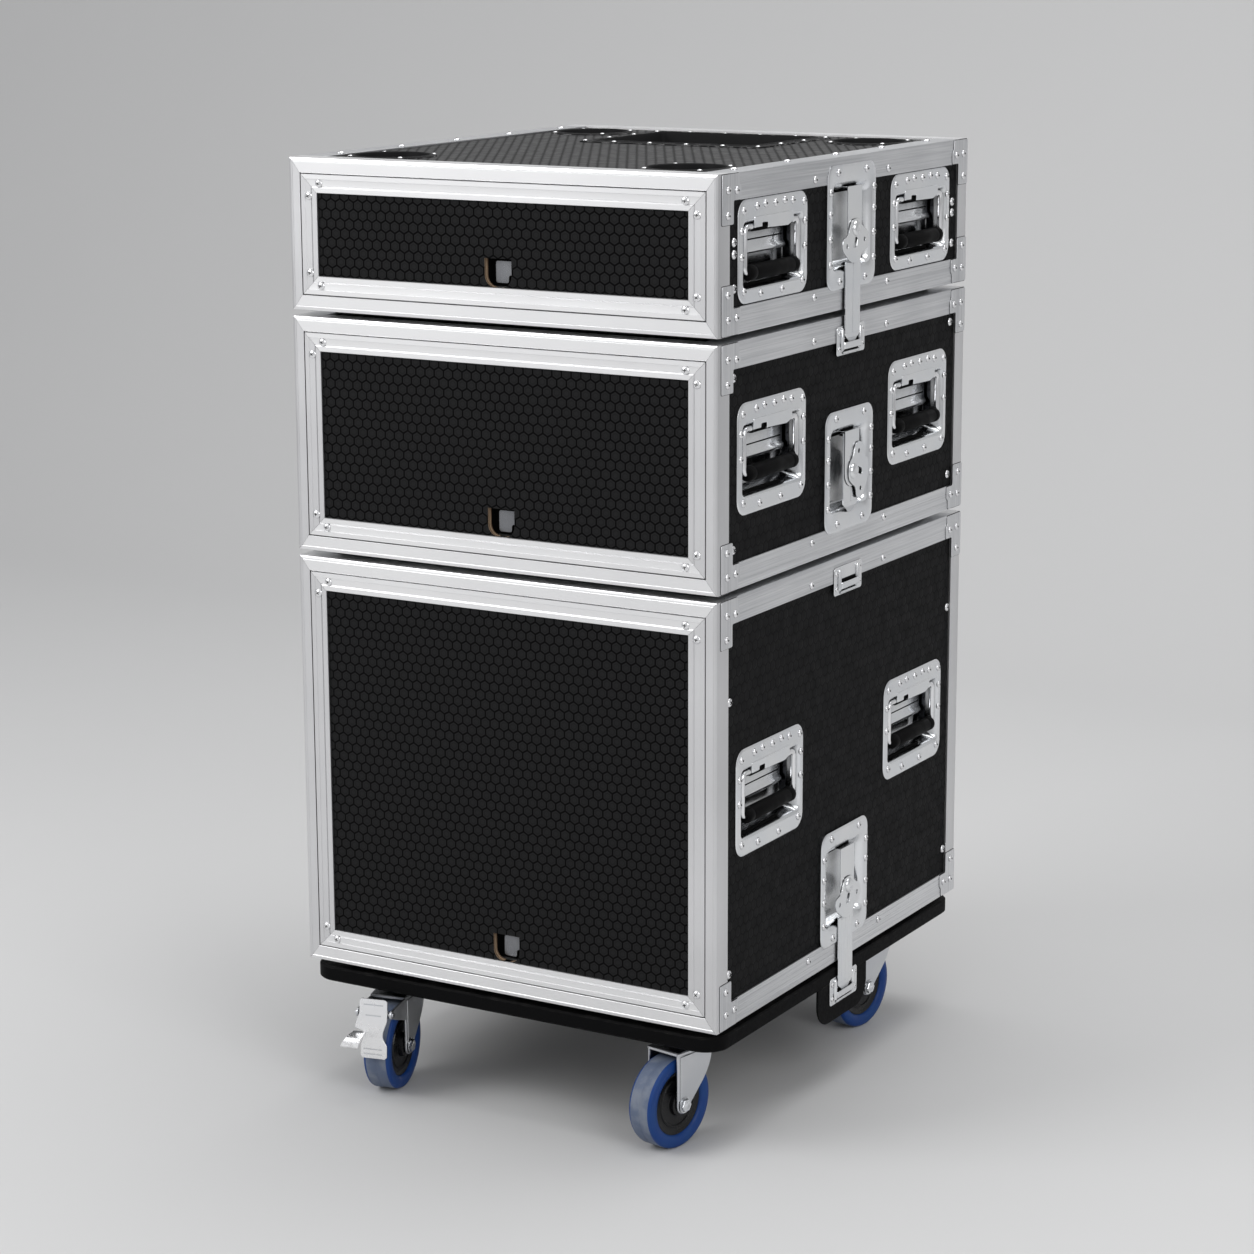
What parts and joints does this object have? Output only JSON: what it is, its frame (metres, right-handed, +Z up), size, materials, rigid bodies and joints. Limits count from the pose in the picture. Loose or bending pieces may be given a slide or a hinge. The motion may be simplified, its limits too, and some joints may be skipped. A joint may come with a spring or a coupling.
{
  "type": "stacked rack case on castors",
  "caption": "Stack of flight-case rack units with aluminium edges, recessed handles and latches on a castor dolly.",
  "frame": {"origin": "centre of the bounding box on the floor, with the wheels standing on z = 0", "axes": "+Z up, the front doors face -Y, +X to the right seen from the front"},
  "size_m": [0.5796, 0.7142, 1.1142],
  "materials": {
    "aluminium": "clear anodised, satin",
    "zinc_steel": "zinc plated, bright",
    "black_laminate": "fine textured black laminate on plywood",
    "black_ply": "black coated plywood",
    "black_steel": "black powder coat",
    "grip_rubber": "matt black rubber sleeve",
    "blue_tyre": "blue elastic rubber tyre on a black core"
  },
  "bodies": {
    "root": {"dolly_board": "black_ply", "bottom_frame": "aluminium", "bottom_shell": "black_laminate", "bottom_left_rack_rail": "zinc_steel", "bottom_right_rack_rail": "zinc_steel"},
    "upper_units": {"middle_frame": "aluminium", "middle_shell": "black_laminate", "middle_left_rack_rail": "zinc_steel", "middle_right_rack_rail": "zinc_steel", "top_frame": "aluminium", "top_shell": "black_laminate", "top_left_rack_rail": "zinc_steel", "top_right_rack_rail": "zinc_steel", "cable_tray": "black_steel", "castor_cup_front_left": "black_steel", "castor_cup_front_right": "black_steel", "castor_cup_rear_left": "black_steel", "castor_cup_rear_right": "black_steel"},
    "bottom_left_front_handle": {"bottom_left_front_handle": "grip_rubber"},
    "bottom_left_rear_handle": {"bottom_left_rear_handle": "grip_rubber"},
    "bottom_left_latch_wing": {"bottom_left_latch_wing": "zinc_steel"},
    "bottom_left_latch_hook": {"bottom_left_latch_hook": "zinc_steel"},
    "bottom_right_front_handle": {"bottom_right_front_handle": "grip_rubber"},
    "bottom_right_rear_handle": {"bottom_right_rear_handle": "grip_rubber"},
    "bottom_right_latch_wing": {"bottom_right_latch_wing": "zinc_steel"},
    "bottom_right_latch_hook": {"bottom_right_latch_hook": "zinc_steel"},
    "bottom_front_door": {"bottom_front_door": "black_laminate"},
    "bottom_rear_door": {"bottom_rear_door": "black_laminate"},
    "middle_left_front_handle": {"middle_left_front_handle": "grip_rubber"},
    "middle_left_rear_handle": {"middle_left_rear_handle": "grip_rubber"},
    "middle_left_latch_wing": {"middle_left_latch_wing": "zinc_steel"},
    "middle_left_latch_hook": {"middle_left_latch_hook": "zinc_steel"},
    "middle_right_front_handle": {"middle_right_front_handle": "grip_rubber"},
    "middle_right_rear_handle": {"middle_right_rear_handle": "grip_rubber"},
    "middle_right_latch_wing": {"middle_right_latch_wing": "zinc_steel"},
    "middle_right_latch_hook": {"middle_right_latch_hook": "zinc_steel"},
    "middle_front_door": {"middle_front_door": "black_laminate"},
    "middle_rear_door": {"middle_rear_door": "black_laminate"},
    "top_left_front_handle": {"top_left_front_handle": "grip_rubber"},
    "top_left_rear_handle": {"top_left_rear_handle": "grip_rubber"},
    "top_left_latch_wing": {"top_left_latch_wing": "zinc_steel"},
    "top_left_latch_hook": {"top_left_latch_hook": "zinc_steel"},
    "top_right_front_handle": {"top_right_front_handle": "grip_rubber"},
    "top_right_rear_handle": {"top_right_rear_handle": "grip_rubber"},
    "top_right_latch_wing": {"top_right_latch_wing": "zinc_steel"},
    "top_right_latch_hook": {"top_right_latch_hook": "zinc_steel"},
    "top_front_door": {"top_front_door": "black_laminate"},
    "top_rear_door": {"top_rear_door": "black_laminate"},
    "front_left_castor_fork": {"front_left_castor_fork": "zinc_steel"},
    "front_left_castor_wheel": {"front_left_castor_wheel": "blue_tyre"},
    "front_left_brake_pedal": {"front_left_brake_pedal": "zinc_steel"},
    "front_right_castor_fork": {"front_right_castor_fork": "zinc_steel"},
    "front_right_castor_wheel": {"front_right_castor_wheel": "blue_tyre"},
    "rear_left_castor_fork": {"rear_left_castor_fork": "zinc_steel"},
    "rear_left_castor_wheel": {"rear_left_castor_wheel": "blue_tyre"},
    "rear_left_brake_pedal": {"rear_left_brake_pedal": "zinc_steel"},
    "rear_right_castor_fork": {"rear_right_castor_fork": "zinc_steel"},
    "rear_right_castor_wheel": {"rear_right_castor_wheel": "blue_tyre"}
  },
  "joints": [
    {"name": "upper_units_lift", "type": "slide", "parent": "root", "child": "upper_units", "axis": [0, 0, 1], "range_m": [0, 0.25]},
    {"name": "bottom_left_front_handle_lift", "type": "hinge", "parent": "root", "child": "bottom_left_front_handle", "pos_m": [-0.2755, -0.14994, 0.44], "axis": [0, 1, 0], "range_deg": [0, 90], "stiffness_Nm_per_rad": 0.25, "springref_deg": -20.05},
    {"name": "bottom_left_rear_handle_lift", "type": "hinge", "parent": "root", "child": "bottom_left_rear_handle", "pos_m": [-0.2755, 0.22806, 0.44], "axis": [0, 1, 0], "range_deg": [0, 90], "stiffness_Nm_per_rad": 0.25, "springref_deg": -20.05},
    {"name": "bottom_left_latch_wing_turn", "type": "hinge", "parent": "root", "child": "bottom_left_latch_wing", "pos_m": [-0.28, 0.03906, 0.245], "axis": [-1, 0, 0], "range_deg": [0, 90]},
    {"name": "bottom_left_latch_hook_slide", "type": "slide", "parent": "root", "child": "bottom_left_latch_hook", "axis": [0, 0, 1], "range_m": [0, 0.084]},
    {"name": "bottom_right_front_handle_lift", "type": "hinge", "parent": "root", "child": "bottom_right_front_handle", "pos_m": [0.2755, -0.14994, 0.44], "axis": [0, -1, 0], "range_deg": [0, 90], "stiffness_Nm_per_rad": 0.25, "springref_deg": -20.05},
    {"name": "bottom_right_rear_handle_lift", "type": "hinge", "parent": "root", "child": "bottom_right_rear_handle", "pos_m": [0.2755, 0.22806, 0.44], "axis": [0, -1, 0], "range_deg": [0, 90], "stiffness_Nm_per_rad": 0.25, "springref_deg": -20.05},
    {"name": "bottom_right_latch_wing_turn", "type": "hinge", "parent": "root", "child": "bottom_right_latch_wing", "pos_m": [0.28, 0.03906, 0.245], "axis": [1, 0, 0], "range_deg": [0, 90]},
    {"name": "bottom_right_latch_hook_slide", "type": "slide", "parent": "root", "child": "bottom_right_latch_hook", "axis": [0, 0, 1], "range_m": [0, 0.084]},
    {"name": "bottom_front_door_slide", "type": "slide", "parent": "root", "child": "bottom_front_door", "axis": [0, -1, 0], "range_m": [0, 0.08]},
    {"name": "bottom_rear_door_slide", "type": "slide", "parent": "root", "child": "bottom_rear_door", "axis": [0, 1, 0], "range_m": [0, 0.08]},
    {"name": "middle_left_front_handle_lift", "type": "hinge", "parent": "upper_units", "child": "middle_left_front_handle", "pos_m": [-0.2755, -0.14994, 0.831], "axis": [0, 1, 0], "range_deg": [0, 90], "stiffness_Nm_per_rad": 0.25, "springref_deg": -20.05},
    {"name": "middle_left_rear_handle_lift", "type": "hinge", "parent": "upper_units", "child": "middle_left_rear_handle", "pos_m": [-0.2755, 0.22806, 0.831], "axis": [0, 1, 0], "range_deg": [0, 90], "stiffness_Nm_per_rad": 0.25, "springref_deg": -20.05},
    {"name": "middle_left_latch_wing_turn", "type": "hinge", "parent": "upper_units", "child": "middle_left_latch_wing", "pos_m": [-0.28, 0.03906, 0.7485], "axis": [-1, 0, 0], "range_deg": [-90, 0]},
    {"name": "middle_left_latch_hook_slide", "type": "slide", "parent": "upper_units", "child": "middle_left_latch_hook", "axis": [0, 0, 1], "range_m": [-0.084, 0]},
    {"name": "middle_right_front_handle_lift", "type": "hinge", "parent": "upper_units", "child": "middle_right_front_handle", "pos_m": [0.2755, -0.14994, 0.831], "axis": [0, -1, 0], "range_deg": [0, 90], "stiffness_Nm_per_rad": 0.25, "springref_deg": -20.05},
    {"name": "middle_right_rear_handle_lift", "type": "hinge", "parent": "upper_units", "child": "middle_right_rear_handle", "pos_m": [0.2755, 0.22806, 0.831], "axis": [0, -1, 0], "range_deg": [0, 90], "stiffness_Nm_per_rad": 0.25, "springref_deg": -20.05},
    {"name": "middle_right_latch_wing_turn", "type": "hinge", "parent": "upper_units", "child": "middle_right_latch_wing", "pos_m": [0.28, 0.03906, 0.7485], "axis": [1, 0, 0], "range_deg": [-90, 0]},
    {"name": "middle_right_latch_hook_slide", "type": "slide", "parent": "upper_units", "child": "middle_right_latch_hook", "axis": [0, 0, 1], "range_m": [-0.084, 0]},
    {"name": "middle_front_door_slide", "type": "slide", "parent": "upper_units", "child": "middle_front_door", "axis": [0, -1, 0], "range_m": [0, 0.08]},
    {"name": "middle_rear_door_slide", "type": "slide", "parent": "upper_units", "child": "middle_rear_door", "axis": [0, 1, 0], "range_m": [0, 0.08]},
    {"name": "top_left_front_handle_lift", "type": "hinge", "parent": "upper_units", "child": "top_left_front_handle", "pos_m": [-0.2755, -0.14994, 1.05225], "axis": [0, 1, 0], "range_deg": [0, 90], "stiffness_Nm_per_rad": 0.25, "springref_deg": -20.05},
    {"name": "top_left_rear_handle_lift", "type": "hinge", "parent": "upper_units", "child": "top_left_rear_handle", "pos_m": [-0.2755, 0.22806, 1.05225], "axis": [0, 1, 0], "range_deg": [0, 90], "stiffness_Nm_per_rad": 0.25, "springref_deg": -20.05},
    {"name": "top_left_latch_wing_turn", "type": "hinge", "parent": "upper_units", "child": "top_left_latch_wing", "pos_m": [-0.28, 0.03906, 1.0305], "axis": [-1, 0, 0], "range_deg": [0, 90]},
    {"name": "top_left_latch_hook_slide", "type": "slide", "parent": "upper_units", "child": "top_left_latch_hook", "axis": [0, 0, 1], "range_m": [0, 0.084]},
    {"name": "top_right_front_handle_lift", "type": "hinge", "parent": "upper_units", "child": "top_right_front_handle", "pos_m": [0.2755, -0.14994, 1.05225], "axis": [0, -1, 0], "range_deg": [0, 90], "stiffness_Nm_per_rad": 0.25, "springref_deg": -20.05},
    {"name": "top_right_rear_handle_lift", "type": "hinge", "parent": "upper_units", "child": "top_right_rear_handle", "pos_m": [0.2755, 0.22806, 1.05225], "axis": [0, -1, 0], "range_deg": [0, 90], "stiffness_Nm_per_rad": 0.25, "springref_deg": -20.05},
    {"name": "top_right_latch_wing_turn", "type": "hinge", "parent": "upper_units", "child": "top_right_latch_wing", "pos_m": [0.28, 0.03906, 1.0305], "axis": [1, 0, 0], "range_deg": [0, 90]},
    {"name": "top_right_latch_hook_slide", "type": "slide", "parent": "upper_units", "child": "top_right_latch_hook", "axis": [0, 0, 1], "range_m": [0, 0.084]},
    {"name": "top_front_door_slide", "type": "slide", "parent": "upper_units", "child": "top_front_door", "axis": [0, -1, 0], "range_m": [0, 0.08]},
    {"name": "top_rear_door_slide", "type": "slide", "parent": "upper_units", "child": "top_rear_door", "axis": [0, 1, 0], "range_m": [0, 0.08]},
    {"name": "front_left_castor_swivel", "type": "hinge", "parent": "root", "child": "front_left_castor_fork", "pos_m": [-0.188, -0.21394, 0.1177], "axis": [0, 0, 1], "continuous": true},
    {"name": "front_left_castor_wheel_spin", "type": "hinge", "parent": "front_left_castor_fork", "child": "front_left_castor_wheel", "pos_m": [-0.17968, -0.25306, 0.0535], "axis": [0.9781, 0.2079, 0], "continuous": true},
    {"name": "front_left_brake_pedal_press", "type": "hinge", "parent": "front_left_castor_fork", "child": "front_left_brake_pedal", "pos_m": [-0.16889, -0.30385, 0.10823], "axis": [0.9781, 0.2079, 0], "range_deg": [0, 5]},
    {"name": "front_right_castor_swivel", "type": "hinge", "parent": "root", "child": "front_right_castor_fork", "pos_m": [0.212, -0.21394, 0.1177], "axis": [0, 0, 1], "continuous": true},
    {"name": "front_right_castor_wheel_spin", "type": "hinge", "parent": "front_right_castor_fork", "child": "front_right_castor_wheel", "pos_m": [0.20437, -0.2532, 0.0535], "axis": [0.9816, -0.1908, 0], "continuous": true},
    {"name": "rear_left_castor_swivel", "type": "hinge", "parent": "root", "child": "rear_left_castor_fork", "pos_m": [-0.188, 0.26006, 0.1177], "axis": [0, 0, 1], "continuous": true},
    {"name": "rear_left_castor_wheel_spin", "type": "hinge", "parent": "rear_left_castor_fork", "child": "rear_left_castor_wheel", "pos_m": [-0.18382, 0.22028, 0.0535], "axis": [0.9945, 0.1045, 0], "continuous": true},
    {"name": "rear_left_brake_pedal_press", "type": "hinge", "parent": "rear_left_castor_fork", "child": "rear_left_brake_pedal", "pos_m": [-0.17839, 0.16864, 0.10823], "axis": [0.9945, 0.1045, 0], "range_deg": [0, 5]},
    {"name": "rear_right_castor_swivel", "type": "hinge", "parent": "root", "child": "rear_right_castor_fork", "pos_m": [0.212, 0.26006, 0.1177], "axis": [0, 0, 1], "continuous": true},
    {"name": "rear_right_castor_wheel_spin", "type": "hinge", "parent": "rear_right_castor_fork", "child": "rear_right_castor_wheel", "pos_m": [0.20574, 0.22056, 0.0535], "axis": [0.9877, -0.1564, 0], "continuous": true}
  ],
  "couplings": [
    {"joint": "bottom_left_latch_hook_slide", "follows": "bottom_left_latch_wing_turn", "m_per_rad": 0.05347},
    {"joint": "bottom_right_latch_hook_slide", "follows": "bottom_right_latch_wing_turn", "m_per_rad": 0.05347},
    {"joint": "middle_left_latch_hook_slide", "follows": "middle_left_latch_wing_turn", "m_per_rad": 0.05347},
    {"joint": "middle_right_latch_hook_slide", "follows": "middle_right_latch_wing_turn", "m_per_rad": 0.05347},
    {"joint": "top_left_latch_hook_slide", "follows": "top_left_latch_wing_turn", "m_per_rad": 0.05347},
    {"joint": "top_right_latch_hook_slide", "follows": "top_right_latch_wing_turn", "m_per_rad": 0.05347}
  ]
}
